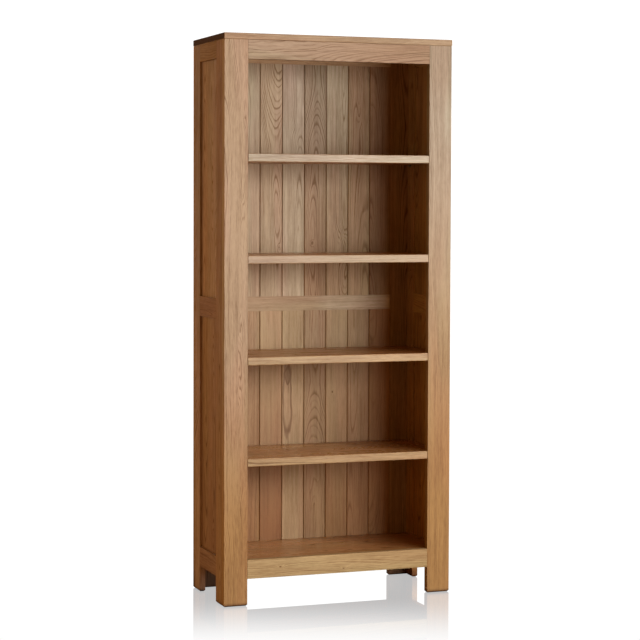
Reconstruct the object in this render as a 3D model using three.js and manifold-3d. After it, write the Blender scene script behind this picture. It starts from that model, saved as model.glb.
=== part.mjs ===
// Tall oak bookcase: a frame-and-panel carcass with a tongue-and-groove back, one fixed bottom shelf
// and four loose shelves that rest on pins in drilled side stiles.
//
// Units are millimetres. +X is to the right of someone facing the open front, +Y goes to the back and
// +Z is up. The origin is on the floor, under the middle of the bookcase.
import * as THREE from 'three';
import { ConvexGeometry } from 'three/addons/geometries/ConvexGeometry.js';
import { mergeVertices } from 'three/addons/utils/BufferGeometryUtils.js';
import Module from 'manifold-3d';

// ---------------------------------------------------------------- driving dimensions

const WIDTH = 772; // across the carcass, without the top's overhang
const DEPTH = 340; // front face of the front stiles to the back of the back stiles
const HEIGHT = 1800; // floor to the top of the top board
const GLUE_GAP = 0.3; // space left between two pieces that meet

const TOP_THICKNESS = 20;
const TOP_OVERHANG = { front: 2, side: 1 }; // the top is flush at the back
const TOP_EASE = 1.5; // chamfer along every edge of the top board

const FRONT_STILE_WIDTH = 78;
const FRONT_THICKNESS = 22;
const FRONT_RAIL_HEIGHT = 60;
const RAIL_TENON = { length: 25, thickness: 8, shoulder: 8 };

const SIDE_THICKNESS = 19;
const SIDE_FRONT_STILE_WIDTH = 62;
const SIDE_REAR_STILE_WIDTH = 56;
const SIDE_MID_RAIL = { low: 903, high: 967 };
const SIDE_TOP_RAIL_HEIGHT = 55;
const SIDE_BOTTOM_RAIL_TOP = 148;
const SIDE_PANEL = { recess: 8, thickness: 7 };

const BACK_STILE_WIDTH = 83;
const BACK_THICKNESS = 20;
const BACK_MID_RAIL = { low: 911, high: 960 };
const BACK_TOP_RAIL_HEIGHT = 50;
const BACK_BOARD = { recess: 2, thickness: 9, pitch: 78, rightWidth: 75, count: 8 };
const BOARD_TONGUE = { reach: 4.5, thickness: 3 };
const BOARD_VEE = 2.5; // chamfer on both front edges of every back board

const GROOVE_DEPTH = 9; // of the grooves that hold the panels, the boards and the rails' tongues
const TONGUE_REACH = 8; // how far a panel, a board or a rail enters its groove

const FLOOR_CLEARANCE = 85; // under the lowest rails
const FOOT_EASE = 4; // chamfer round the foot of every leg piece
const CORNER_RADIUS = 2; // of the four outer upright corners
const CORNER_STEPS = 4;
const BOTTOM_SHELF = { top: 145, thickness: 25, tongueReach: 6, tongueThickness: 10 };

const SHELF_THICKNESS = 25;
const SHELF_COUNT = 4;
const SHELF_SPACING = 320; // ten steps of the pin holes
const SHELF_END_PLAY = 1.6; // each end, to the side frames
const SHELF_FRONT_PLAY = 0.5; // each end, to the front stiles
const SHELF_REAR_PLAY = 1.8; // to the back stiles
const SHELF_EASE = 1.2; // chamfer along the front edges of a shelf

const PIN_SIDES = 16;
const PIN = {
  pegRadius: 2.5,
  pegLength: 10,
  collarRadius: 4,
  collarThickness: 1.2,
  stubRadius: 3.78,
  stubLength: 9.5,
};
const PIN_HOLE = { radius: 3.1, depth: 12, pitch: 32, each: 2 }; // `each` spare holes above and below

// ---------------------------------------------------------------- derived planes

const outerX = WIDTH / 2;
const frontStileX = outerX - FRONT_STILE_WIDTH; // inner edge of the front stiles
const backStileX = outerX - BACK_STILE_WIDTH; // inner edge of the back stiles
const sideInnerX = outerX - SIDE_THICKNESS; // inner face of the side frames
const panelX = [outerX - SIDE_PANEL.recess - SIDE_PANEL.thickness, outerX - SIDE_PANEL.recess];

const backY = (DEPTH + TOP_OVERHANG.front) / 2; // back face of the back stiles
const frontY = backY - DEPTH; // front face of the front stiles
const frontFrameY = frontY + FRONT_THICKNESS; // where the side frames start
const backFrameY = backY - BACK_THICKNESS; // where the side frames end
const sideOpeningY = [frontFrameY + SIDE_FRONT_STILE_WIDTH, backFrameY - SIDE_REAR_STILE_WIDTH];
const boardY = [backFrameY + BACK_BOARD.recess, backFrameY + BACK_BOARD.recess + BACK_BOARD.thickness];

const carcassTop = HEIGHT - TOP_THICKNESS;
const shelfLevels = Array.from({ length: SHELF_COUNT }, (_, i) => BOTTOM_SHELF.top + SHELF_SPACING * (i + 1));
const pinRows = [(frontFrameY + sideOpeningY[0]) / 2, (sideOpeningY[1] + backFrameY) / 2];
const pinTop = PIN.stubRadius * Math.cos(Math.PI / PIN_SIDES); // height of a stub's flat top over its axis

// ---------------------------------------------------------------- materials

const oak = (color, roughness = 0.55) => new THREE.MeshStandardMaterial({ color, roughness, metalness: 0 });
const palette = {
  front: '#c9a47a',
  side: '#8f6238',
  top: '#a67a4b',
  back: '#b08d68',
  shelf: '#c8a06f',
};
const pinMetal = () => new THREE.MeshStandardMaterial({ color: '#b9b6ae', roughness: 0.35, metalness: 1 });

// ---------------------------------------------------------------- solids

const wasm = await Module();
wasm.setup();

function toSolid(geometry) {
  const bare = geometry.clone();
  bare.deleteAttribute('normal');
  bare.deleteAttribute('uv');
  const merged = mergeVertices(bare, 1e-4);
  return new wasm.Manifold(new wasm.Mesh({
    numProp: 3,
    vertProperties: new Float32Array(merged.attributes.position.array),
    triVerts: new Uint32Array(merged.index.array),
  }));
}

function toGeometry(solid) {
  const { vertProperties, triVerts } = solid.getMesh();
  const geometry = new THREE.BufferGeometry();
  geometry.setAttribute('position', new THREE.BufferAttribute(vertProperties, 3));
  geometry.setIndex(new THREE.BufferAttribute(triVerts, 1));
  geometry.computeVertexNormals();
  return geometry;
}

// One solid from the boxes and other shapes in `add`, less those in `cut`.
function carve(add, cut = []) {
  let solid = toSolid(add[0]);
  for (const shape of add.slice(1)) solid = solid.add(toSolid(shape));
  for (const shape of cut) solid = solid.subtract(toSolid(shape));
  return toGeometry(solid);
}

// A box between three [low, high] ranges.
function slab(x, y, z) {
  const geometry = new THREE.BoxGeometry(x[1] - x[0], y[1] - y[0], z[1] - z[0]);
  return geometry.translate((x[0] + x[1]) / 2, (y[0] + y[1]) / 2, (z[0] + z[1]) / 2);
}

// A box with every edge chamfered by `ease`.
function easedSlab(x, y, z, ease) {
  const corners = [];
  for (const i of [0, 1]) {
    for (const j of [0, 1]) {
      for (const k of [0, 1]) {
        const inward = [1 - 2 * i, 1 - 2 * j, 1 - 2 * k].map((s) => s * ease);
        const corner = [x[i], y[j], z[k]];
        for (const flush of [0, 1, 2]) {
          const moved = corner.map((value, axis) => (axis === flush ? value : value + inward[axis]));
          corners.push(new THREE.Vector3(...moved));
        }
      }
    }
  }
  return new ConvexGeometry(corners);
}

// An upright board that stands on the floor, with its foot chamfered all round. `outer` picks the
// corner that is rounded, as [x, y] signs from the middle of the board; without it all are square.
function leg(x, y, top, outer = [0, 0]) {
  const corners = [];
  for (const [inset, z] of [[FOOT_EASE, 0], [0, FOOT_EASE], [0, top]]) {
    for (const signX of [-1, 1]) {
      for (const signY of [-1, 1]) {
        const radius = signX === outer[0] && signY === outer[1] ? CORNER_RADIUS : 0;
        const cornerX = signX < 0 ? x[0] + inset : x[1] - inset;
        const cornerY = signY < 0 ? y[0] + inset : y[1] - inset;
        for (let step = 0; step <= (radius ? CORNER_STEPS : 0); step += 1) {
          const turn = (Math.PI / 2) * (step / CORNER_STEPS);
          corners.push(new THREE.Vector3(
            cornerX - signX * radius * (1 - Math.sin(turn)),
            cornerY - signY * radius * (1 - Math.cos(turn)),
            z,
          ));
        }
      }
    }
  }
  return new ConvexGeometry(corners);
}

// The range [low, high] on the right, or its mirror image on the left.
const sideways = (side, low, high) => (side > 0 ? [low, high] : [-high, -low]);
const widen = ([low, high], by) => [low - by, high + by];

const bookcase = new THREE.Group();

function place(name, geometry, material) {
  const mesh = new THREE.Mesh(geometry, material);
  mesh.name = name;
  bookcase.add(mesh);
  return mesh;
}

const sides = [
  { name: 'left', sign: -1 },
  { name: 'right', sign: 1 },
];

// ---------------------------------------------------------------- front frame and top

const frontRails = {
  top: [carcassTop - FRONT_RAIL_HEIGHT, carcassTop],
  bottom: [FLOOR_CLEARANCE, FLOOR_CLEARANCE + FRONT_RAIL_HEIGHT],
};
const tenonY = [
  (frontY + frontFrameY - RAIL_TENON.thickness) / 2,
  (frontY + frontFrameY + RAIL_TENON.thickness) / 2,
];
const tenonZ = (rail) => widen(rail, -RAIL_TENON.shoulder);

for (const { name, sign } of sides) {
  const mortises = Object.values(frontRails).map((rail) => slab(
    sideways(sign, frontStileX - 1, frontStileX + RAIL_TENON.length + 1),
    widen(tenonY, GLUE_GAP),
    widen(tenonZ(rail), GLUE_GAP),
  ));
  const stile = leg(sideways(sign, frontStileX, outerX), [frontY, frontFrameY], carcassTop, [sign, -1]);
  place(`front_${name}_stile`, carve([stile], mortises), oak(palette.front));
}

for (const [name, rail] of Object.entries(frontRails)) {
  const half = frontStileX - GLUE_GAP;
  const body = slab([-half, half], [frontY, frontFrameY], rail);
  const reach = frontStileX + RAIL_TENON.length;
  const tenons = slab([-reach, reach], tenonY, tenonZ(rail));
  place(`front_${name}_rail`, carve([body, tenons]), oak(palette.front));
}

const topX = outerX + TOP_OVERHANG.side;
const topY = [frontY - TOP_OVERHANG.front, backY];
const topBoard = easedSlab([-topX, topX], topY, [carcassTop + GLUE_GAP, HEIGHT], TOP_EASE);
place('top_board', topBoard, oak(palette.top));

// ---------------------------------------------------------------- side frames

const sideRails = {
  top: { z: [carcassTop - SIDE_TOP_RAIL_HEIGHT, carcassTop], grooved: ['below'] },
  mid: { z: [SIDE_MID_RAIL.low, SIDE_MID_RAIL.high], grooved: ['below', 'above'] },
  bottom: { z: [FLOOR_CLEARANCE, SIDE_BOTTOM_RAIL_TOP], grooved: ['above'] },
};
const sidePanels = {
  upper: [SIDE_MID_RAIL.high, sideRails.top.z[0]],
  lower: [SIDE_BOTTOM_RAIL_TOP, SIDE_MID_RAIL.low],
};
const bottomTongueZ = [
  BOTTOM_SHELF.top - BOTTOM_SHELF.thickness,
  BOTTOM_SHELF.top - BOTTOM_SHELF.thickness + BOTTOM_SHELF.tongueThickness,
];

// Blind holes in a row up a side stile, around each loose shelf's own pins.
function pinHoles(sign, y) {
  const hole = new THREE.CylinderGeometry(PIN_HOLE.radius, PIN_HOLE.radius, PIN_HOLE.depth + 1, PIN_SIDES);
  hole.rotateY(Math.PI / PIN_SIDES);
  hole.rotateZ(Math.PI / 2);
  const holes = [];
  for (const level of shelfLevels) {
    for (let step = -PIN_HOLE.each; step <= PIN_HOLE.each; step += 1) {
      const z = pinAxis(level) + step * PIN_HOLE.pitch;
      holes.push(hole.clone().translate(sign * (sideInnerX + (PIN_HOLE.depth - 1) / 2), y, z));
    }
  }
  return holes;
}

function pinAxis(level) {
  return level - SHELF_THICKNESS - GLUE_GAP - pinTop;
}

function sideGroove(sign, y, z) {
  return slab(sideways(sign, ...widen(panelX, GLUE_GAP)), y, z);
}

for (const { name, sign } of sides) {
  const stileRanges = {
    front: [frontFrameY + GLUE_GAP, sideOpeningY[0]],
    rear: [sideOpeningY[1], backFrameY - GLUE_GAP],
  };
  const grooveRanges = {
    front: [sideOpeningY[0] - GROOVE_DEPTH, sideOpeningY[0] + 1],
    rear: [sideOpeningY[1] - 1, sideOpeningY[1] + GROOVE_DEPTH],
  };
  Object.entries(stileRanges).forEach(([end, range], row) => {
    const stile = leg(sideways(sign, sideInnerX, outerX), range, carcassTop);
    const groove = sideGroove(sign, grooveRanges[end], [FLOOR_CLEARANCE - GLUE_GAP, carcassTop + 1]);
    const holes = pinHoles(sign, pinRows[row]);
    place(`${name}_${end}_side_stile`, carve([stile], [groove, ...holes]), oak(palette.side));
  });

  for (const [position, rail] of Object.entries(sideRails)) {
    const [low, high] = rail.z;
    const grooves = {
      below: sideGroove(sign, widen(sideOpeningY, 20), [low - 1, low + GROOVE_DEPTH]),
      above: sideGroove(sign, widen(sideOpeningY, 20), [high - GROOVE_DEPTH, high + 1]),
    };
    const cuts = rail.grooved.map((edge) => grooves[edge]);
    if (position === 'bottom') {
      const housing = sideways(sign, sideInnerX - 1, sideInnerX + BOTTOM_SHELF.tongueReach + GLUE_GAP);
      cuts.push(slab(housing, widen(sideOpeningY, 20), widen(bottomTongueZ, GLUE_GAP)));
    }
    const body = slab(sideways(sign, sideInnerX, outerX), widen(sideOpeningY, -GLUE_GAP), rail.z);
    const tongue = slab(sideways(sign, ...panelX), widen(sideOpeningY, TONGUE_REACH), rail.z);
    place(`${name}_${position}_side_rail`, carve([body, tongue], cuts), oak(palette.side));
  }

  for (const [position, opening] of Object.entries(sidePanels)) {
    const panelY = widen(sideOpeningY, TONGUE_REACH);
    const panel = slab(sideways(sign, ...panelX), panelY, widen(opening, TONGUE_REACH));
    place(`${name}_${position}_side_panel`, panel, oak(palette.side));
  }
}

// ---------------------------------------------------------------- back frame and boards

const backGrooveY = widen(boardY, GLUE_GAP);
const backRails = {
  top: { z: [carcassTop - BACK_TOP_RAIL_HEIGHT, carcassTop], grooved: ['below'] },
  mid: { z: [BACK_MID_RAIL.low, BACK_MID_RAIL.high], grooved: ['below', 'above'] },
};

for (const { name, sign } of sides) {
  const stile = leg(sideways(sign, backStileX, outerX), [backFrameY, backY], carcassTop, [sign, 1]);
  const grooveX = sideways(sign, backStileX - 1, backStileX + GROOVE_DEPTH);
  const groove = slab(grooveX, backGrooveY, [FLOOR_CLEARANCE - GLUE_GAP, carcassTop + 1]);
  place(`back_${name}_stile`, carve([stile], [groove]), oak(palette.back));
}

for (const [name, rail] of Object.entries(backRails)) {
  const [low, high] = rail.z;
  const reach = backStileX + TONGUE_REACH;
  const grooves = {
    below: slab([-outerX, outerX], backGrooveY, [low - 1, low + GROOVE_DEPTH]),
    above: slab([-outerX, outerX], backGrooveY, [high - GROOVE_DEPTH, high + 1]),
  };
  const half = backStileX - GLUE_GAP;
  const body = slab([-half, half], [backFrameY, backY], rail.z);
  const tongue = slab([-reach, reach], boardY, rail.z);
  const cuts = rail.grooved.map((edge) => grooves[edge]);
  place(`back_${name}_rail`, carve([body, tongue], cuts), oak(palette.back));
}

// A board's section between x0 and x1, with a groove on its left edge and a tongue on its right edge.
function boardSection(x0, x1, grooved, tongued) {
  const [front, rear] = boardY;
  const middle = (front + rear) / 2;
  const halfTongue = BOARD_TONGUE.thickness / 2;
  const halfGroove = halfTongue + GLUE_GAP;
  const right = tongued
    ? [
      [x1, middle - halfTongue],
      [x1 + BOARD_TONGUE.reach, middle - halfTongue],
      [x1 + BOARD_TONGUE.reach, middle + halfTongue],
      [x1, middle + halfTongue],
    ]
    : [];
  const left = grooved
    ? [
      [x0, middle + halfGroove],
      [x0 + BOARD_TONGUE.reach + GLUE_GAP, middle + halfGroove],
      [x0 + BOARD_TONGUE.reach + GLUE_GAP, middle - halfGroove],
      [x0, middle - halfGroove],
    ]
    : [];
  const frontLeft = grooved ? [[x0, front + BOARD_VEE], [x0 + BOARD_VEE, front]] : [[x0, front]];
  const frontRight = tongued ? [[x1 - BOARD_VEE, front], [x1, front + BOARD_VEE]] : [[x1, front]];
  const outline = [...frontLeft, ...frontRight, ...right, [x1, rear], [x0, rear], ...left];
  return new THREE.Shape(outline.map(([x, y]) => new THREE.Vector2(x, y)));
}

const tiers = {
  upper: [BACK_MID_RAIL.high - TONGUE_REACH, backRails.top.z[0] + TONGUE_REACH],
  lower: [FLOOR_CLEARANCE, BACK_MID_RAIL.low + TONGUE_REACH],
};
const boardJoints = Array.from(
  { length: BACK_BOARD.count - 1 },
  (_, i) => backStileX - BACK_BOARD.rightWidth - BACK_BOARD.pitch * (BACK_BOARD.count - 2 - i),
);
const boardEdges = [-backStileX - TONGUE_REACH, ...boardJoints, backStileX + TONGUE_REACH];

for (const [tier, [low, high]] of Object.entries(tiers)) {
  for (let i = 0; i < BACK_BOARD.count; i += 1) {
    const first = i === 0;
    const last = i === BACK_BOARD.count - 1;
    const x0 = boardEdges[i] + (first ? 0 : GLUE_GAP / 2);
    const x1 = boardEdges[i + 1] - (last ? 0 : GLUE_GAP / 2);
    const section = boardSection(x0, x1, !first, !last);
    const board = new THREE.ExtrudeGeometry(section, { depth: high - low, bevelEnabled: false });
    place(`back_${tier}_board_${i + 1}`, toGeometry(toSolid(board.translate(0, 0, low))), oak(palette.back));
  }
}

// ---------------------------------------------------------------- shelves

const bottomRange = [BOTTOM_SHELF.top - BOTTOM_SHELF.thickness, BOTTOM_SHELF.top];
const bottomHalf = sideInnerX - GLUE_GAP;
const tongueHalf = sideInnerX + BOTTOM_SHELF.tongueReach;
const rearHalf = backStileX - GLUE_GAP;
place('bottom_shelf', carve([
  slab([-bottomHalf, bottomHalf], [frontFrameY + GLUE_GAP, backFrameY - GLUE_GAP], bottomRange),
  slab([-rearHalf, rearHalf], [0, boardY[0] - GLUE_GAP], bottomRange),
  slab([-tongueHalf, tongueHalf], widen(sideOpeningY, -GLUE_GAP), bottomTongueZ),
]), oak(palette.shelf));

// Seen from above, a loose shelf is a wide board whose front corners are notched round the front stiles.
const notchY = frontFrameY + SHELF_END_PLAY;
const shelfHalf = sideInnerX - SHELF_END_PLAY;
const shelfFrontHalf = frontStileX - SHELF_FRONT_PLAY;
const shelfRearY = backFrameY - SHELF_REAR_PLAY;

shelfLevels.forEach((level, i) => {
  const z = [level - SHELF_THICKNESS, level];
  const nose = easedSlab([-shelfFrontHalf, shelfFrontHalf], [frontY, notchY + 20], z, SHELF_EASE);
  const rear = easedSlab([-shelfHalf, shelfHalf], [notchY, shelfRearY], z, SHELF_EASE);
  place(`shelf_${i + 1}`, carve([nose, rear]), oak(palette.shelf));
});

// ---------------------------------------------------------------- shelf pins

// A pin's half section from the tip of its peg to the end of its stub, turned about its own axis.
const pinProfile = [
  [0, PIN.pegLength],
  [PIN.pegRadius, PIN.pegLength],
  [PIN.pegRadius, -GLUE_GAP],
  [PIN.collarRadius, -GLUE_GAP],
  [PIN.collarRadius, -GLUE_GAP - PIN.collarThickness],
  [PIN.stubRadius, -GLUE_GAP - PIN.collarThickness],
  [PIN.stubRadius, -GLUE_GAP - PIN.collarThickness - PIN.stubLength],
  [0, -GLUE_GAP - PIN.collarThickness - PIN.stubLength],
].reverse().map(([radius, along]) => new THREE.Vector2(radius, along));

for (const { name, sign } of sides) {
  const geometry = new THREE.LatheGeometry(pinProfile, PIN_SIDES);
  geometry.rotateY(Math.PI / PIN_SIDES);
  geometry.rotateZ(-sign * Math.PI / 2);
  const pin = toGeometry(toSolid(geometry));
  shelfLevels.forEach((level, i) => {
    ['front', 'rear'].forEach((end, row) => {
      const mesh = place(`pin_${i + 1}_${end}_${name}`, pin, pinMetal());
      mesh.position.set(sign * sideInnerX, pinRows[row], pinAxis(level));
    });
  });
}

export default bookcase;
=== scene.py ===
"""Looks of a tall oak bookcase with loose shelves: solid oak grain, turned shelf pins, studio light.

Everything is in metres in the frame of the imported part: +X right, +Y to the back, +Z up, and the
origin on the floor under the middle of the bookcase.
"""

import math

import bmesh
import bpy
from mathutils import Matrix, Vector


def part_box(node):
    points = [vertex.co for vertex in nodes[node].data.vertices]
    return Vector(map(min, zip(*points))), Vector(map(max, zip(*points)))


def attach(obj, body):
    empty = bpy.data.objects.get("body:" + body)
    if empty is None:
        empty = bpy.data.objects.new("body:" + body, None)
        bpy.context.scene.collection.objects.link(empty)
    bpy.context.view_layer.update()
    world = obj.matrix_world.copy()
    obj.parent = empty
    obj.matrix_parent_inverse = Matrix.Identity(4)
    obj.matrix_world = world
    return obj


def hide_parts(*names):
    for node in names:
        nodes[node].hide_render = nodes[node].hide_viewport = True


MM = 0.001
MM_PER_METRE = (1000, 1000, 1000)

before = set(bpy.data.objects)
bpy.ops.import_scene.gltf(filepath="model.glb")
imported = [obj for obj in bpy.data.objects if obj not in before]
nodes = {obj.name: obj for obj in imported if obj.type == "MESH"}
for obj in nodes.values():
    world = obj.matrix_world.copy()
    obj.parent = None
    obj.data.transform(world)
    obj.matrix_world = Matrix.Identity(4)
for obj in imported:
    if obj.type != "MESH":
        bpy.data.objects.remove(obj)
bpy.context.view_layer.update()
SIDES = ("left", "right")


# ---------------------------------------------------------------- shader node helpers


class Shader:
    """Adds nodes to one node tree and wires each to what feeds it."""

    def __init__(self, tree):
        self.tree = tree

    def add(self, kind, feeds=None, **settings):
        node = self.tree.nodes.new(kind)
        for name, value in settings.items():
            setattr(node, name, value)
        for key, value in (feeds or {}).items():
            self.feed(node.inputs[key], value)
        return node

    def feed(self, socket, value):
        if isinstance(value, bpy.types.NodeSocket):
            self.tree.links.new(value, socket)
        else:
            socket.default_value = value

    def math(self, operation, *values, clamp=False):
        feeds = dict(enumerate(values))
        return self.add("ShaderNodeMath", feeds, operation=operation, use_clamp=clamp).outputs[0]

    def vector(self, operation, *values):
        node = self.add("ShaderNodeVectorMath", dict(enumerate(values)), operation=operation)
        return node.outputs["Value" if operation in ("LENGTH", "DOT_PRODUCT") else "Vector"]

    def combine(self, x, y, z):
        return self.add("ShaderNodeCombineXYZ", {0: x, 1: y, 2: z}).outputs[0]

    def separate(self, vector):
        return self.add("ShaderNodeSeparateXYZ", {0: vector}).outputs

    def ramp(self, value, low, high, to_low=0.0, to_high=1.0):
        """value, taken smoothly from to_low at low to to_high at high."""
        feeds = {"Value": value, "From Min": low, "From Max": high, "To Min": to_low, "To Max": to_high}
        return self.add("ShaderNodeMapRange", feeds, interpolation_type="SMOOTHSTEP").outputs["Result"]

    def mix(self, factor, a, b, blend="MIX"):
        node = self.add("ShaderNodeMix", {0: factor}, data_type="RGBA", blend_type=blend)
        self.feed(node.inputs[6], a)
        self.feed(node.inputs[7], b)
        return node.outputs[2]

    def noise(self, vector, periods, detail=2.0, roughness=0.5):
        """Noise of vector, in millimetres, whose lumps are about `periods` millimetres long."""
        scaled = self.vector("MULTIPLY", vector, tuple(1 / p for p in periods))
        feeds = {"Vector": scaled, "Scale": 1.0, "Detail": detail, "Roughness": roughness}
        return self.add("ShaderNodeTexNoise", feeds)

    def random(self, value):
        return self.add("ShaderNodeTexWhiteNoise", {"W": value}, noise_dimensions="1D").outputs


def new_material(name):
    """An empty material, and the Shader that fills it."""
    material = bpy.data.materials.new(name)
    material.use_nodes = True
    material.node_tree.nodes.clear()
    return material, Shader(material.node_tree)


def tone(red, green, blue):
    """A shader colour from linear values."""
    return (red, green, blue, 1.0)


def rgb(red, green, blue):
    """A shader colour from the 0-255 values a colour picker shows."""

    def linear(value):
        value /= 255
        return value / 12.92 if value <= 0.04045 else ((value + 0.055) / 1.055) ** 2.4

    return tone(linear(red), linear(green), linear(blue))


WHITE = tone(1, 1, 1)


# ---------------------------------------------------------------- oak

OAK_INPUTS = (
    ("Grain", "NodeSocketVector", None),  # along, across and through the board, in millimetres
    ("Facing", "NodeSocketVector", None),  # the normal in the same axes
    ("Half", "NodeSocketVector", None),  # half the board's size in the same axes
    ("Seed", "NodeSocketFloat", 0.0),  # the board's own number, for all that is left to chance
    ("Stave", "NodeSocketFloat", 1000.0),  # width of the strips that a wide board is glued from
    ("Pith", "NodeSocketVector", (0, 22, 0)),  # where the pith runs: across, below the face, slope along
    ("Wild", "NodeSocketFloat", 1.0),  # how far chance moves the pith
    ("Year", "NodeSocketFloat", 3.4),  # width of a growth ring, in millimetres
    ("Figure", "NodeSocketFloat", 0.85),  # strength of the growth rings
    ("Marks", "NodeSocketFloat", 1.0),  # strength of the fibres and flecks
    ("Hills", "NodeSocketFloat", 0.0),  # how far figures and knots push the rings aside, in millimetres
    ("Heart", "NodeSocketFloat", 0.0),  # 1 in the heart of a knot
    ("DustAndShade", "NodeSocketFloat", 0.0),  # 1 where shade is painted, at the feet and in the V joints, the joints with their dust
    ("Matt", "NodeSocketFloat", 0.5),  # roughness of the finish
    ("Tone", "NodeSocketColor", tone(0.5, 0.35, 0.2)),
)
OAK_OUTPUTS = (
    ("Color", "NodeSocketColor"),
    ("Roughness", "NodeSocketFloat"),
    ("Height", "NodeSocketFloat"),
)

# What multiplies a board's tone in each kind of wood, where its surface has changed, and where shade is
# painted.
LATE_WOOD = tone(1.12, 1.13, 1.14)
EARLY_WOOD = tone(0.52, 0.42, 0.32)
PINK_BLUSH = tone(1.03, 0.98, 0.985)
GREEN_BLUSH = tone(0.985, 1.0, 0.97)
PORE = tone(0.4, 0.3, 0.22)
HEART = tone(0.3, 0.17, 0.07)
RUBBED = tone(0.6, 0.5, 0.4)
# Painted shade at the feet and in the V joints, with dust in the joints.
DUST_AND_SHADE = tone(0.3, 0.22, 0.14)

# The tone of every sawn end, and what multiplies it.
END_GRAIN = rgb(60, 36, 20)
END_LATE_WOOD = tone(1.2, 1.2, 1.2)
END_EARLY_WOOD = tone(0.7, 0.7, 0.7)


def make_oak_group():
    """A board sawn from a trunk: rings round a leaning, wavering pith, with pores, fibres and streaks."""
    tree = bpy.data.node_groups.new("oak", "ShaderNodeTree")
    for name, kind, value in OAK_INPUTS:
        socket = tree.interface.new_socket(name, in_out="INPUT", socket_type=kind)
        if value is not None:
            socket.default_value = value
    for name, kind in OAK_OUTPUTS:
        tree.interface.new_socket(name, in_out="OUTPUT", socket_type=kind)
    s = Shader(tree)
    given = s.add("NodeGroupInput").outputs
    along, across, through = s.separate(given["Grain"])

    # Staves: each has its own trunk, tone and place in the pattern.
    stave = s.math("ROUND", s.math("DIVIDE", across, given["Stave"]))
    in_stave = s.math("SUBTRACT", across, s.math("MULTIPLY", stave, given["Stave"]))
    key = s.math("MULTIPLY_ADD", stave, 17.31, given["Seed"])
    stave_tone = s.random(s.math("ADD", key, 5.7))["Value"]
    away = s.vector("MULTIPLY", s.random(key)["Color"], (9000, 9000, 9000))
    board = s.vector("ADD", s.combine(along, in_stave, through), away)

    # The pith lies to one side of the board and below its face, and leans along it.
    chance = s.vector("SUBTRACT", s.random(key)["Color"], (0.5, 0, 0.5))
    chance = s.vector("MULTIPLY", s.vector("MULTIPLY", chance, (80, 70, 0.1)), given["Wild"])
    pith_across, pith_through, lean = s.separate(s.vector("ADD", chance, given["Pith"]))
    centre = (0.5, 0.5, 0.5)  # noise runs from 0 to 1
    waver = s.vector("SUBTRACT", s.noise(board, (420, 150, 150), 0).outputs["Color"], centre)
    ripple = s.vector("SUBTRACT", s.noise(board, (120, 34, 34), 1).outputs["Color"], centre)
    fray = s.vector("SUBTRACT", s.noise(board, (24, 2.6, 2.6), 1).outputs["Color"], centre)
    bend = s.vector("MULTIPLY", waver, (0, 34, 40))
    bend = s.vector("ADD", bend, s.vector("MULTIPLY", ripple, (0, 5, 5)))
    bend = s.vector("ADD", bend, s.vector("MULTIPLY", fray, (0, 0.6, 0.6)))
    ring_across = s.math("SUBTRACT", in_stave, pith_across)
    ring_through = s.math("MULTIPLY_ADD", along, lean, s.math("ADD", through, pith_through))
    spot = s.vector("ADD", s.combine(0.0, ring_across, ring_through), bend)
    radius = s.math("ADD", s.vector("LENGTH", spot), given["Hills"])

    # Growth rings: a porous dark line that starts sharply and fades into the pale late wood.
    wander = s.noise(s.combine(radius, key, 0.0), (9, 1, 1), 1).outputs["Fac"]
    years = s.math("MULTIPLY_ADD", wander, 1.6, s.math("DIVIDE", radius, given["Year"]))
    year = s.math("FRACT", years)
    strength = s.ramp(s.random(s.math("ADD", s.math("FLOOR", years), key))["Value"], 0, 1, 0.25, 1)
    line = s.math("MULTIPLY", s.ramp(year, 0.0, 0.16), s.ramp(year, 0.16, 0.55, 1, 0))
    line = s.math("MULTIPLY", line, strength)

    # Finer marks: pores, fibres, flecks, long streaks and slow changes of tone.
    pores = s.ramp(s.noise(board, (13, 0.5, 0.5), 1).outputs["Fac"], 0.56, 0.68)
    pores = s.math("MULTIPLY", pores, s.math("MULTIPLY_ADD", line, 0.75, 0.25))
    fibres = s.noise(board, (60, 1.1, 1.1), 3, 0.6).outputs["Fac"]
    flecks = s.noise(board, (34, 3.6, 3.6), 2, 0.6).outputs["Fac"]
    streaks = s.noise(board, (300, 9, 9), 3, 0.55).outputs["Fac"]
    cloud = s.noise(board, (210, 48, 48), 2).outputs["Fac"]
    marks = s.math("MULTIPLY", s.math("SUBTRACT", fibres, 0.5), 0.6)
    marks = s.math("MULTIPLY_ADD", s.math("SUBTRACT", flecks, 0.5), 0.9, marks)
    depth = s.math("MULTIPLY_ADD", marks, given["Marks"], s.math("MULTIPLY", line, given["Figure"]))
    for mark, weight in ((streaks, 1.0), (cloud, 0.7), (stave_tone, 0.35)):
        depth = s.math("MULTIPLY_ADD", s.math("SUBTRACT", mark, 0.5), weight, depth)
    depth = s.math("ADD", depth, 0.24, clamp=True)
    wood = s.mix(depth, LATE_WOOD, EARLY_WOOD)
    blush = s.noise(board, (520, 60, 60), 1).outputs["Fac"]
    wood = s.mix(s.ramp(blush, 0.45, 0.62), wood, PINK_BLUSH, "MULTIPLY")
    wood = s.mix(s.ramp(blush, 0.4, 0.52, 1, 0), wood, GREEN_BLUSH, "MULTIPLY")
    wood = s.mix(s.math("MULTIPLY", pores, 0.5), wood, PORE, "MULTIPLY")
    wood = s.mix(given["Heart"], wood, HEART)
    color = s.mix(1.0, given["Tone"], wood, "MULTIPLY")

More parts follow.
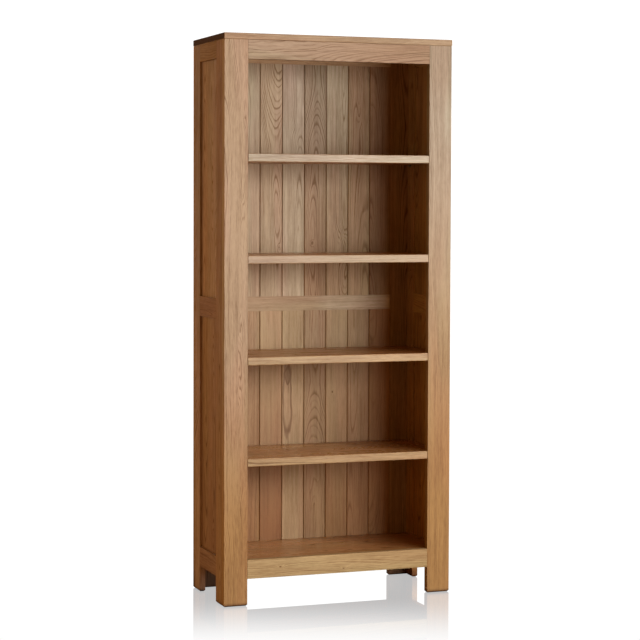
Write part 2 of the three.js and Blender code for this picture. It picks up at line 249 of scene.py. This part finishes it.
    # End grain drinks the finish and goes dark; glue lines and rubbed arrises show a little.
    face_along, _, _ = s.separate(given["Facing"])
    end = s.ramp(s.math("ABSOLUTE", face_along), 0.55, 0.9)
    end_wood = s.mix(1.0, END_GRAIN, s.mix(line, END_LATE_WOOD, END_EARLY_WOOD), "MULTIPLY")
    color = s.mix(end, color, end_wood)
    to_glue = s.math("SUBTRACT", s.math("MULTIPLY", given["Stave"], 0.5), s.math("ABSOLUTE", in_stave))
    glue = s.ramp(to_glue, 0, 0.6, 1, 0)
    room = s.separate(s.vector("SUBTRACT", given["Half"], s.vector("ABSOLUTE", given["Grain"])))
    nearest = s.math("MINIMUM", room[0], room[1])
    farther = s.math("MAXIMUM", room[0], room[1])
    to_edge = s.math("MAXIMUM", nearest, s.math("MINIMUM", farther, room[2]))
    worn = s.ramp(to_edge, 0.2, 2.0, 1, 0)
    rubbed = s.math("MULTIPLY", worn, s.ramp(cloud, 0.3, 0.7, 0.1, 0.4))
    shade = s.math("MAXIMUM", s.math("MULTIPLY", glue, 0.4), rubbed)
    color = s.mix(shade, color, RUBBED, "MULTIPLY")
    # Painted shade at the feet and in the V joints, with dust in the joints.
    color = s.mix(given["DustAndShade"], color, DUST_AND_SHADE, "MULTIPLY")

    roughness = s.math("MULTIPLY_ADD", line, 0.1, given["Matt"])
    roughness = s.math("MULTIPLY_ADD", s.math("SUBTRACT", cloud, 0.5), 0.12, roughness)
    roughness = s.math("MULTIPLY_ADD", end, 0.18, roughness)
    height = s.math("MULTIPLY_ADD", pores, -0.8, s.math("MULTIPLY", line, -0.35))
    height = s.math("MULTIPLY_ADD", fibres, 0.35, height)
    s.add("NodeGroupOutput", {"Color": color, "Roughness": roughness, "Height": height})
    return tree


def make_hill_group():
    """A smooth hill in the rings, that shows as nested loops, with a wavering outline."""
    tree = bpy.data.node_groups.new("hill", "ShaderNodeTree")
    for name in ("Grain", "Centre", "Reach"):
        tree.interface.new_socket(name, in_out="INPUT", socket_type="NodeSocketVector")
    tree.interface.new_socket("Rise", in_out="INPUT", socket_type="NodeSocketFloat")
    for name in ("Hill", "Spread"):
        tree.interface.new_socket(name, in_out="OUTPUT", socket_type="NodeSocketFloat")
    s = Shader(tree)
    given = s.add("NodeGroupInput").outputs
    nearby = s.vector("ADD", given["Grain"], given["Centre"])
    waver = s.noise(nearby, (70, 22, 22), 1).outputs["Color"]
    waver = s.vector("MULTIPLY", s.vector("SUBTRACT", waver, (0.5, 0.5, 0.5)), (0.9, 0.9, 0))
    offset = s.vector("DIVIDE", s.vector("SUBTRACT", given["Grain"], given["Centre"]), given["Reach"])
    offset = s.vector("MULTIPLY", s.vector("ADD", offset, waver), (1, 1, 0))
    spread = s.vector("LENGTH", offset)
    fall = s.math("EXPONENT", s.math("MULTIPLY", s.math("MULTIPLY", spread, spread), -1.0))
    s.add("NodeGroupOutput", {"Hill": s.math("MULTIPLY", fall, given["Rise"]), "Spread": spread})
    return tree


OAK = make_oak_group()
HILL = make_hill_group()

# Which axis of the frame runs along, across and through each kind of board.
UPRIGHT_FACING_FRONT = (2, 0, 1)
UPRIGHT_FACING_SIDE = (2, 1, 0)
RAIL_FACING_FRONT = (0, 2, 1)
RAIL_FACING_SIDE = (1, 2, 0)
LYING_FLAT = (0, 1, 2)

LOOP_RISE = 4  # how far a loop pushes the rings aside, in millimetres


def board_tone(s, place, normal, axes, fade, tones, settings):
    """The tone of one board from place to place, before its grain."""
    along = place[axes[0]]
    tone_here = s.mix(s.ramp(along, *fade), *tones)
    for start, stop, next_tone in settings.pop("turns", ()):
        tone_here = s.mix(s.ramp(along, start, stop), tone_here, next_tone)
    if "right_face" in settings:
        right_face = s.mix(s.ramp(along, *fade), *settings.pop("right_face"))
        tone_here = s.mix(s.math("GREATER_THAN", normal[0], 0.5), tone_here, right_face)
    if "edge_tone" in settings:
        edge = s.math("ABSOLUTE", normal[axes[1]])
        tone_here = s.mix(edge, tone_here, settings.pop("edge_tone"))
    return tone_here


def board_dust_and_shade(s, place, axes, middle, half_length, settings):
    """Where one board is darkened: painted shade with some dust along its seams, or, where foot is given,
    painted shade up from its lower end instead.
    """
    dust_and_shade_mask = 0.0
    # Painted shade in the V joints, with their dust.
    for seam in settings.pop("seams", ()):
        from_seam = s.math("ABSOLUTE", s.math("SUBTRACT", place[axes[1]], seam - middle[axes[1]]))
        dust_and_shade_mask = s.math("MAXIMUM", s.ramp(from_seam, 0.6, 2.6, 0.45, 0), dust_and_shade_mask)
    # Painted shade at the foot: contact shadow and the shade under the bookcase.
    foot = settings.pop("foot", 0)
    if foot:
        dust_and_shade_mask = s.ramp(place[2], -half_length, foot - half_length, 1, 0)
    return dust_and_shade_mask


def board_figure(s, grain, along, settings):
    """How far the figures of one board push its rings aside, and where the hearts of its knots are."""
    hills, heart = 0.0, 0.0
    for start, stop, rise in settings.pop("arches", ()):
        hills = s.math("ADD", s.ramp(along, start, stop, 0, rise), hills)
    shapes = [((a, c, 0), (ra, rc, 1), rise, None) for a, c, ra, rc, rise in settings.pop("hills", ())]
    for a, c, ra, rc, dark in settings.pop("loops", ()):
        shapes.append(((a, c, 0), (ra, rc, 1), LOOP_RISE, dark))
    for a, c, radius in settings.pop("knots", ()):
        shapes.append(((a, c, 0), (4.5 * radius, 2.2 * radius, 1), 2.4 * radius, "knot"))
    for centre, reach, rise, dark in shapes:
        feeds = {"Grain": grain, "Centre": centre, "Reach": reach, "Rise": rise}
        hill = s.add("ShaderNodeGroup", feeds, node_tree=HILL).outputs
        hills = s.math("ADD", hill["Hill"], hills)
        if dark is None:
            continue
        if dark == "knot":
            core = s.ramp(hill["Spread"], 0.12, 0.42, 1, 0)
        else:
            rim = s.ramp(hill["Spread"], 0.6, 0.9, dark, 0.7)
            core = s.math("MULTIPLY", rim, s.ramp(hill["Spread"], 0.95, 1.12, 1, 0))
        heart = s.math("MAXIMUM", core, heart)
    return hills, heart


def oak(name, axes, seed, low_tone, high_tone=None, **settings):
    """Gives one board its material. The tone passes from low_tone to high_tone along the grain, between
    the two places of fade, and then, for each (from, to, tone) of turns, on to that tone.

    All places are in millimetres from the board's middle. Arches are (from, to, rise) along the grain,
    hills (along, across, reach along, reach across, rise), loops the same with a darkness inside in
    place of the rise, and knots (along, across, radius). A board darkens along seams, which are places
    across the bookcase, with painted shade and dust in the joints; a board given foot darkens
    instead as high as that from its lower end, with painted shade. edge_tone is the tone of the long
    edges, and right_face the low and high tones of the face that looks along +X. The other settings are oak
    group inputs.
    """
    low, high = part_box(name)
    middle = (low + high) / 2 / MM
    half = [(high - low)[i] / 2 / MM for i in axes]
    material, s = new_material("oak_" + name)
    where = s.add("ShaderNodeTexCoord").outputs
    place = s.separate(s.vector("MULTIPLY_ADD", where["Object"], MM_PER_METRE, tuple(-middle)))
    normal = s.separate(where["Normal"])
    grain = s.combine(*(place[i] for i in axes))
    tones = (low_tone, high_tone or low_tone)
    fade = settings.pop("fade", (-half[0], half[0]))
    base_tone = board_tone(s, place, normal, axes, fade, tones, settings)
    dust_and_shade_mask = board_dust_and_shade(s, place, axes, middle, half[0], settings)
    hills, heart = board_figure(s, grain, place[axes[0]], settings)
    feeds = {
        "Grain": grain,
        "Facing": s.combine(*(normal[i] for i in axes)),
        "Half": half,
        "Seed": seed,
        "Tone": base_tone,
        "DustAndShade": dust_and_shade_mask,
        "Hills": hills,
        "Heart": heart,
        **settings,
    }
    wood = s.add("ShaderNodeGroup", feeds, node_tree=OAK).outputs
    bump = s.add("ShaderNodeBump", {"Height": wood["Height"], "Strength": 0.5, "Distance": 0.25 * MM})
    skin = s.add(
        "ShaderNodeBsdfPrincipled",
        {
            "Base Color": wood["Color"],
            "Roughness": wood["Roughness"],
            "Normal": bump.outputs[0],
            "Specular IOR Level": 0.3,
        },
    )
    s.add("ShaderNodeOutputMaterial", {"Surface": skin.outputs[0]})
    slots = nodes[name].data.materials
    slots.clear()
    slots.append(material)


# ---------------------------------------------------------------- edges of the CAD boards


def smooth_by_angle_group(degrees):
    """Geometry nodes that shade faces smooth, with edges sharper than `degrees` kept sharp."""
    tree = bpy.data.node_groups.new("smooth_by_angle", "GeometryNodeTree")
    tree.interface.new_socket("Geometry", in_out="INPUT", socket_type="NodeSocketGeometry")
    tree.interface.new_socket("Geometry", in_out="OUTPUT", socket_type="NodeSocketGeometry")
    s = Shader(tree)
    source = s.add("NodeGroupInput").outputs[0]
    faces = s.add("GeometryNodeSetShadeSmooth", {"Geometry": source, "Shade Smooth": True}, domain="FACE")
    angle = s.add("GeometryNodeInputMeshEdgeAngle").outputs["Unsigned Angle"]
    sharp = s.math("GREATER_THAN", angle, math.radians(degrees))
    feeds = {"Geometry": faces.outputs[0], "Selection": sharp, "Shade Smooth": False}
    edges = s.add("GeometryNodeSetShadeSmooth", feeds, domain="EDGE")
    s.add("NodeGroupOutput", {0: edges.outputs[0]})
    return tree


SMOOTH = smooth_by_angle_group(40)
FRONT_ARRIS, OTHER_ARRIS = 0.4 * MM, 0.7 * MM


def ease_edges(obj, width):
    """Rounds the sharp edges of a CAD board as sanding does, without touching its mesh."""
    weld = obj.modifiers.new("weld", "WELD")
    weld.merge_threshold = 0.005 * MM
    flats = obj.modifiers.new("flats", "DECIMATE")
    flats.decimate_type = "DISSOLVE"
    flats.angle_limit = math.radians(0.5)
    arris = obj.modifiers.new("arris", "BEVEL")
    arris.width = width
    arris.segments = 3
    arris.limit_method = "ANGLE"
    arris.angle_limit = math.radians(35)
    smooth = obj.modifiers.new("smooth", "NODES")
    smooth.node_group = SMOOTH
    normals = obj.modifiers.new("normals", "WEIGHTED_NORMAL")
    normals.keep_sharp = True


# ---------------------------------------------------------------- dressing the boards


# The front stiles turn paler and greyer upwards: painted sheen. Their feet darken with painted contact
# shadow.
oak(
    "front_left_stile",
    UPRIGHT_FACING_FRONT,
    3.1,
    tone(0.37, 0.215, 0.082),
    tone(0.41, 0.3, 0.2),
    fade=(-720, 20),
    hills=(
        (688, 24, 60, 8, 10),
        (300, 14, 125, 11, 15),
        (-35, 6, 90, 12, 12),
        (-185, 6, 60, 10, 9),
        (-583, 16, 60, 9, 8),
    ),
    Pith=(-55, 55, 0.02),
    Wild=0,
    Year=2.8,
    Figure=0.7,
    Marks=1.4,
    foot=14,
)
# Paler and greyer upwards, painted sheen, then darker again near its top.
oak(
    "front_right_stile",
    UPRIGHT_FACING_FRONT,
    4.1,
    tone(0.35, 0.2, 0.07),
    tone(0.36, 0.32, 0.24),
    fade=(-640, 840),
    turns=((640, 800, tone(0.32, 0.26, 0.18)),),
    Pith=(-90, 60, 0.03),
    Wild=0,
    Year=3.0,
    Figure=0.7,
    foot=14,
)
oak(
    "front_top_rail",
    RAIL_FACING_FRONT,
    51.2,
    tone(0.36, 0.28, 0.19),
    tone(0.3, 0.2, 0.115),
    hills=((-170, 12, 170, 24, 10),),
    Pith=(-45, 100, -0.06),
    Wild=0,
    Year=4.2,
    Figure=0.58,
)
oak(
    "front_bottom_rail",
    RAIL_FACING_FRONT,
    52.2,
    tone(0.52, 0.42, 0.22),
    tone(0.43, 0.32, 0.155),
    knots=((-197, 3, 3), (15, -15, 2.5)),
    Pith=(-60, 70, 0.04),
    Wild=0,
    Figure=0.4,
)
oak("top_board", LYING_FLAT, 91.3, tone(0.44, 0.32, 0.2), Stave=86, edge_tone=tone(0.42, 0.31, 0.2))

# Side frames and panels: the low and high tones of each piece.
LEFT_SIDE = {
    "front_side_stile": (tone(0.39, 0.24, 0.13), tone(0.33, 0.21, 0.15)),
    "rear_side_stile": (tone(0.42, 0.28, 0.2), tone(0.31, 0.22, 0.17)),
    "upper_side_panel": (tone(0.5, 0.36, 0.28), tone(0.46, 0.36, 0.33)),
    "lower_side_panel": (tone(0.3, 0.17, 0.1), tone(0.41, 0.28, 0.19)),
    "top_side_rail": (tone(0.31, 0.19, 0.1), None),
    "mid_side_rail": (tone(0.3, 0.175, 0.1), None),
    "bottom_side_rail": (tone(0.31, 0.185, 0.12), None),
}
RIGHT_LOW = tone(0.44, 0.22, 0.04)
RIGHT_MIDDLE = tone(0.48, 0.3, 0.1)
RIGHT_HIGH = tone(0.52, 0.36, 0.19)
RIGHT_FACE = (tone(0.4, 0.25, 0.135), tone(0.42, 0.285, 0.175))  # outside the right side, inside the left
RIGHT_SIDE = {
    "front_side_stile": (RIGHT_LOW, RIGHT_HIGH),
    "rear_side_stile": (RIGHT_LOW, RIGHT_HIGH),
    "upper_side_panel": (RIGHT_MIDDLE, RIGHT_HIGH),
    "lower_side_panel": (RIGHT_LOW, RIGHT_MIDDLE),
    "top_side_rail": (RIGHT_HIGH, None),
    "mid_side_rail": (RIGHT_MIDDLE, None),
    "bottom_side_rail": (RIGHT_LOW, None),
}
for i, (side, pieces) in enumerate(zip(SIDES, (LEFT_SIDE, RIGHT_SIDE))):
    for j, (piece, (low_tone, high_tone)) in enumerate(pieces.items()):
        axes = RAIL_FACING_SIDE if "rail" in piece else UPRIGHT_FACING_SIDE
        extra = {"Stave": 58} if "panel" in piece else {}
        if side == "right":
            extra["Figure"] = 0.6
        else:
            extra["Marks"] = 1.4
        # Side stiles darken at the foot with painted shade: 14 mm up, 70 mm on the right rear stile.
        if "stile" in piece:
            extra["foot"] = 70 if (side, piece) == ("right", "rear_side_stile") else 14
        oak(f"{side}_{piece}", axes, 21.7 + 10 * i + j, low_tone, high_tone, right_face=RIGHT_FACE, **extra)

# Back frame and boards.
# The back stiles darken 120 mm up from the floor: painted shade under the bookcase.
for i, side in enumerate(SIDES):
    oak(f"back_{side}_stile", UPRIGHT_FACING_FRONT, 13.4 + i, tone(0.4, 0.25, 0.13), foot=120)
STRAIGHT = {"Pith": (-140, 60, 0.02), "Wild": 0, "Figure": 0.4, "Marks": 0.8}
# The back top rail's tone is raised: painted light where it sits under the front top rail.
oak("back_top_rail", RAIL_FACING_FRONT, 57.2, tone(0.6, 0.43, 0.24), **STRAIGHT)
oak(
    "back_mid_rail",
    RAIL_FACING_FRONT,
    58.2,
    tone(0.4, 0.28, 0.16),
    tone(0.58, 0.47, 0.32),
    fade=(20, 110),
    **STRAIGHT,
)

# The colours of the back boards, roughly from pale to dark.
BLEACHED = tone(0.56, 0.47, 0.34)
PALE = tone(0.51, 0.4, 0.27)
STRAW = tone(0.45, 0.33, 0.21)
HONEY = tone(0.45, 0.32, 0.175)
GREYED = tone(0.41, 0.32, 0.23)
MUTED = tone(0.36, 0.28, 0.18)
TAN = tone(0.42, 0.28, 0.15)
DULL = tone(0.38, 0.25, 0.135)
BROWN = tone(0.35, 0.21, 0.1)
RUSSET = tone(0.34, 0.18, 0.07)
RED = tone(0.25, 0.11, 0.036)

# The low and high tones of each back board, from left to right.
UPPER_BOARDS = (
    (TAN, STRAW),
    (STRAW, MUTED),
    (STRAW, STRAW),
    (PALE, GREYED),
    (TAN, MUTED),
    (HONEY, BLEACHED),
    (HONEY, DULL),
    (BROWN, BROWN),
)
LOWER_BOARDS = (
    (TAN, HONEY),
    (RUSSET, TAN),
    (RED, TAN),
    (TAN, HONEY),
    (BROWN, DULL),
    (RUSSET, HONEY),
    (RUSSET, TAN),
    (RUSSET, RUSSET),
)
ARCHED = {"Wild": 0, "Figure": 0.75}
FIGURES = {
    "back_lower_board_2": STRAIGHT,
    "back_lower_board_3": {**STRAIGHT, "Figure": 0.15, "Marks": 0.55},
    "back_upper_board_3": {
        "arches": ((60, 400, -36),),
        "knots": ((-224, 26, 2.5),),
        "Pith": (12, 40, 0),
        **ARCHED,
    },
    "back_upper_board_4": {"hills": ((181, -8, 22, 26, 5),), "Figure": 0.5},
    "back_upper_board_5": {
        "arches": ((85, 370, 36),),
        "knots": ((-209, -12, 2.5),),
        "Pith": (-4, 42, 0),
        **ARCHED,
    },
    "back_upper_board_6": {"hills": ((-220, 15, 60, 25, 16),), "Figure": 0.7},
    "back_upper_board_7": {"hills": ((290, 0, 90, 14, 14),), "Figure": 0.7},
    "back_lower_board_4": {
        "loops": ((112, -20, 125, 16, 0.1), (205, -21, 44, 10, 0.5)),
        "hills": ((-230, 6, 110, 20, 11), (-350, -10, 60, 12, 7)),
        **STRAIGHT,
    },
    "back_lower_board_5": {
        "arches": ((-90, 170, 26),),
        "hills": ((-300, -3, 120, 13, 13),),
        "Pith": (0, 75, 0),
        "Wild": 0,
        "Figure": 0.5,
    },
    "back_lower_board_6": {"knots": ((134, -17, 3),), **STRAIGHT},
}
BOARD_JOINTS = (-240, -162, -84, -6, 72, 150, 228)  # across the bookcase, in millimetres
for i, (tier, tones) in enumerate((("upper", UPPER_BOARDS), ("lower", LOWER_BOARDS))):
    for k, (low_tone, high_tone) in enumerate(tones):
        name = f"back_{tier}_board_{k + 1}"
        seams = BOARD_JOINTS[max(k - 1, 0) : k + 1]
        seed = 61.5 + 11 * i + k
        figure = {"Figure": 0.5, "Marks": 0.75, **FIGURES.get(name, {})}
        oak(name, UPRIGHT_FACING_FRONT, seed, low_tone, high_tone, seams=seams, **figure)

# Shelves, with rubbed paler front edges; the rest of each shelf darkens towards its right end: painted shade
# of the right stile.
SHELF = {"Stave": 80, "Matt": 0.28, "fade": (-60, 330)}
SHELF_TONES = (tone(0.53, 0.29, 0.115), tone(0.37, 0.18, 0.065))
SHELF_EDGES = (
    tone(0.41, 0.29, 0.16),
    tone(0.46, 0.34, 0.19),
    tone(0.38, 0.29, 0.19),
    tone(0.44, 0.38, 0.28),
)
SHELF_PITHS = ((10, 34, 0.13), (-60, 48, 0.05), (30, 60, 0.02), (-20, 70, -0.03))
oak("bottom_shelf", LYING_FLAT, 93.3, *SHELF_TONES, **SHELF)
for k, (edge_tone, pith) in enumerate(zip(SHELF_EDGES, SHELF_PITHS)):
    settings = {"edge_tone": edge_tone, "Pith": pith, **SHELF}
    oak(f"shelf_{k + 1}", LYING_FLAT, 95.3 + k, *SHELF_TONES, **settings)

for name, obj in nodes.items():
    if not name.startswith("pin_"):
        ease_edges(obj, FRONT_ARRIS if name.startswith("front_") else OTHER_ARRIS)


# ---------------------------------------------------------------- shelf pins


def pin_metal():
    """Worn steel with fine rings left by the lathe."""
    material, s = new_material("pin_metal")
    where = s.vector("MULTIPLY", s.add("ShaderNodeTexCoord").outputs["Object"], MM_PER_METRE)
    turned = s.noise(where, (0.25, 6, 6), 2).outputs["Fac"]
    cloud = s.noise(where, (3, 3, 3), 2).outputs["Fac"]
    color = s.mix(cloud, rgb(196, 190, 178), rgb(168, 162, 150))
    roughness = s.math("MULTIPLY_ADD", turned, 0.16, 0.22)
    bump = s.add("ShaderNodeBump", {"Height": turned, "Strength": 0.25, "Distance": 0.05 * MM})
    feeds = {"Base Color": color, "Roughness": roughness, "Normal": bump.outputs[0], "Metallic": 1.0}
    skin = s.add("ShaderNodeBsdfPrincipled", feeds)
    s.add("ShaderNodeOutputMaterial", {"Surface": skin.outputs[0]})
    return material


PIN_METAL = pin_metal()
PIN_STEPS = 40  # corners round each ring of a pin
PEG_RADIUS = 2.5 * MM
STUB_LENGTH, COLLAR_LENGTH = 9.5 * MM, 1.2 * MM
STUB_BELOW_COLLAR = 0.22 * MM


def turned_pin(name):
    """A turned pin in place of its CAD solid: peg with a rounded tip, collar, and stub with a rounded end."""
    low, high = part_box(name)
    wall = -1 if low.x < 0 else 1  # the wall is towards this side
    tip, end = (high.x, low.x) if wall > 0 else (low.x, high.x)  # the peg's, in the wall, and the stub's
    axis_y, axis_z = (low.y + high.y) / 2, (low.z + high.z) / 2
    collar = (high.z - low.z) / 2
    peg, stub = PEG_RADIUS, collar - STUB_BELOW_COLLAR
    base = end + wall * (STUB_LENGTH + COLLAR_LENGTH)  # the collar's face against the wall
    profile = [  # the place along X and the radius of each ring
        (tip, 0),
        (tip, 0.5 * peg),
        (tip - wall * 0.3 * MM, 0.82 * peg),
        (tip - wall * 0.9 * MM, peg),
        (base - wall * 0.02 * MM, peg),
        (base, peg + 0.1 * MM),
        (base, collar - 0.25 * MM),
        (base - wall * 0.25 * MM, collar),
        (base - wall * 0.95 * MM, collar),
        (base - wall * COLLAR_LENGTH, collar - 0.25 * MM),
        (base - wall * COLLAR_LENGTH, stub + 0.02 * MM),
        (base - wall * 1.3 * MM, stub - 0.06 * MM),
        (base - wall * 1.6 * MM, stub - 0.06 * MM),
        (base - wall * 1.75 * MM, stub),
        (end + wall * 0.8 * MM, stub),
        (end + wall * 0.25 * MM, stub - 0.2 * MM),
        (end, stub - 0.8 * MM),
        (end, 0),
    ]
    mesh = bmesh.new()
    turns = [2 * math.pi * step / PIN_STEPS for step in range(PIN_STEPS)]
    rings = []
    for x, radius in profile:
        ring = [(x, axis_y + radius * math.cos(t), axis_z + radius * math.sin(t)) for t in turns]
        if radius == 0:
            ring = [(x, axis_y, axis_z)]
        rings.append([mesh.verts.new(place) for place in ring])
    for first, second in zip(rings, rings[1:]):
        for step in range(PIN_STEPS):
            following = (step + 1) % PIN_STEPS
            corners = [
                first[step % len(first)],
                second[step % len(second)],
                second[following % len(second)],
                first[following % len(first)],
            ]
            mesh.faces.new(dict.fromkeys(corners))
    bmesh.ops.recalc_face_normals(mesh, faces=mesh.faces)
    data = bpy.data.meshes.new(name + "_turned")
    mesh.to_mesh(data)
    mesh.free()
    data.materials.append(PIN_METAL)
    piece = bpy.data.objects.new(name + "_turned", data)
    bpy.context.scene.collection.objects.link(piece)
    smooth = piece.modifiers.new("smooth", "NODES")
    smooth.node_group = SMOOTH
    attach(piece, name)
    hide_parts(name)


for name in sorted(nodes):
    if name.startswith("pin_"):
        turned_pin(name)


# ---------------------------------------------------------------- floor, light and camera


def emission(name, color, strength):
    material, s = new_material(name)
    glow = s.add("ShaderNodeEmission", {"Color": color, "Strength": strength})
    s.add("ShaderNodeOutputMaterial", {"Surface": glow.outputs[0]})
    return material


ALONG_FLOOR = (0.344, 0.939, 0)  # the way the camera of the photograph looks, along the floor
SHEEN_FROM, SHEEN_TO = -0.88, -0.1  # metres along that between which the reflection comes in
SHEEN = 0.5  # its strength from there on
FLOOR_BOUNCE = tone(0.5, 0.33, 0.17)  # the floor's colour to all but the camera


def floor_material():
    """A white polished floor, white to the camera but for what it reflects close to the bookcase."""
    material, s = new_material("floor_white")
    place = s.add("ShaderNodeNewGeometry").outputs["Position"]
    away = s.vector("DOT_PRODUCT", place, ALONG_FLOOR)
    sheen = s.ramp(away, SHEEN_FROM, SHEEN_TO, 0.0, SHEEN)
    white = s.add("ShaderNodeEmission").outputs[0]
    mirror = s.add("ShaderNodeBsdfGlossy", {"Color": WHITE, "Roughness": 0.0}).outputs[0]
    seen = s.add("ShaderNodeMixShader", {0: sheen, 1: white, 2: mirror}).outputs[0]
    lit = s.add("ShaderNodeBsdfDiffuse", {"Color": FLOOR_BOUNCE}).outputs[0]
    by_camera = s.add("ShaderNodeLightPath").outputs["Is Camera Ray"]
    both = s.add("ShaderNodeMixShader", {0: by_camera, 1: lit, 2: seen})
    s.add("ShaderNodeOutputMaterial", {"Surface": both.outputs[0]})
    return material


def rectangle(name, centre, width, height, facing, material):
    """A flat rectangle whose front looks along `facing`."""
    mesh = bpy.data.meshes.new(name)
    x, y = width / 2, height / 2
    mesh.from_pydata([(-x, -y, 0), (x, -y, 0), (x, y, 0), (-x, y, 0)], [], [(0, 1, 2, 3)])
    mesh.materials.append(material)
    obj = bpy.data.objects.new(name, mesh)
    bpy.context.scene.collection.objects.link(obj)
    obj.location = centre
    obj.rotation_euler = Vector(facing).to_track_quat("Z", "Y").to_euler()


# The floor lies half a millimetre down, clear of the feet.
rectangle("floor", (0, 0, -0.5 * MM), 30, 30, (0, 0, 1), floor_material())
rectangle("backdrop", (2.5, 4.5, 2.6), 7.0, 5.2, (0, -1, 0), emission("backdrop_white", WHITE, 1.15))


def softbox(name, location, target, width, height, power, color=(1, 1, 1)):
    """A rectangular area light at location, turned to target, of so many watts."""
    data = bpy.data.lights.new(name, "AREA")
    data.shape = "RECTANGLE"
    data.size, data.size_y = width, height
    data.energy = power
    data.color = color
    obj = bpy.data.objects.new(name, data)
    bpy.context.scene.collection.objects.link(obj)
    obj.location = location
    obj.rotation_euler = (Vector(location) - Vector(target)).to_track_quat("Z", "Y").to_euler()


softbox("key", (1.5, -5.2, 1.5), (0, 0, 1.5), 2.2, 2.4, 133)
softbox("right_fill", (3.4, -3.5, 1.78), (0, 0, 1.1), 1.8, 1.3, 140)
softbox("left_fill", (-4.5, 0.5, 2.2), (0, 0, 0.9), 1.5, 1.5, 30, (1.0, 0.72, 0.42))
softbox("rear_right", (4.0, 4.0, 2.6), (0, 0, 0.9), 2.0, 2.0, 120)
softbox("overhead", (0.2, 1.0, 4.2), (0, 0, 1.8), 1.4, 1.4, 24)


DIM_WARM = tone(0.33, 0.16, 0.038)  # the light of the room round the bookcase


def make_world():
    """White to the camera and in the floor, dim and warm to everything else."""
    world = bpy.data.worlds.new("studio")
    world.use_nodes = True
    world.node_tree.nodes.clear()
    s = Shader(world.node_tree)
    ray = s.add("ShaderNodeLightPath").outputs
    seen = s.math("MAXIMUM", ray["Is Camera Ray"], ray["Is Singular Ray"])
    color = s.mix(seen, DIM_WARM, WHITE)
    glow = s.add("ShaderNodeBackground", {"Color": color, "Strength": 1.0})
    s.add("ShaderNodeOutputWorld", {"Surface": glow.outputs[0]})
    bpy.context.scene.world = world


make_world()

CAMERA_AT = Vector((-2.1798, -5.9337, 1.2773))
CAMERA_YAW, CAMERA_PITCH, CAMERA_ROLL = 0.3515, 0.0404, 0.0032  # radians: to +X, downwards, clockwise
CAMERA_LENS, CAMERA_SENSOR = 108.8, 36  # millimetres
CAMERA_SHIFT_X, CAMERA_SHIFT_Y = -0.0007, -0.0639  # parts of the picture's width


def make_camera():
    """The camera of the photograph."""
    level = Vector((math.cos(CAMERA_YAW), -math.sin(CAMERA_YAW), 0))
    ahead = Vector(
        (
            math.sin(CAMERA_YAW) * math.cos(CAMERA_PITCH),
            math.cos(CAMERA_YAW) * math.cos(CAMERA_PITCH),
            -math.sin(CAMERA_PITCH),
        )
    )
    upright = level.cross(ahead)
    right = level * math.cos(CAMERA_ROLL) + upright * math.sin(CAMERA_ROLL)
    up = upright * math.cos(CAMERA_ROLL) - level * math.sin(CAMERA_ROLL)
    data = bpy.data.cameras.new("camera")
    data.lens = CAMERA_LENS
    data.sensor_width = CAMERA_SENSOR
    data.shift_x = CAMERA_SHIFT_X
    data.shift_y = CAMERA_SHIFT_Y
    data.clip_end = 100
    camera = bpy.data.objects.new("camera", data)
    bpy.context.scene.collection.objects.link(camera)
    turn = Matrix((right, up, -ahead)).transposed().to_4x4()
    camera.matrix_world = Matrix.Translation(CAMERA_AT) @ turn
    bpy.context.scene.camera = camera


make_camera()
bpy.context.scene.view_settings.view_transform = "Standard"
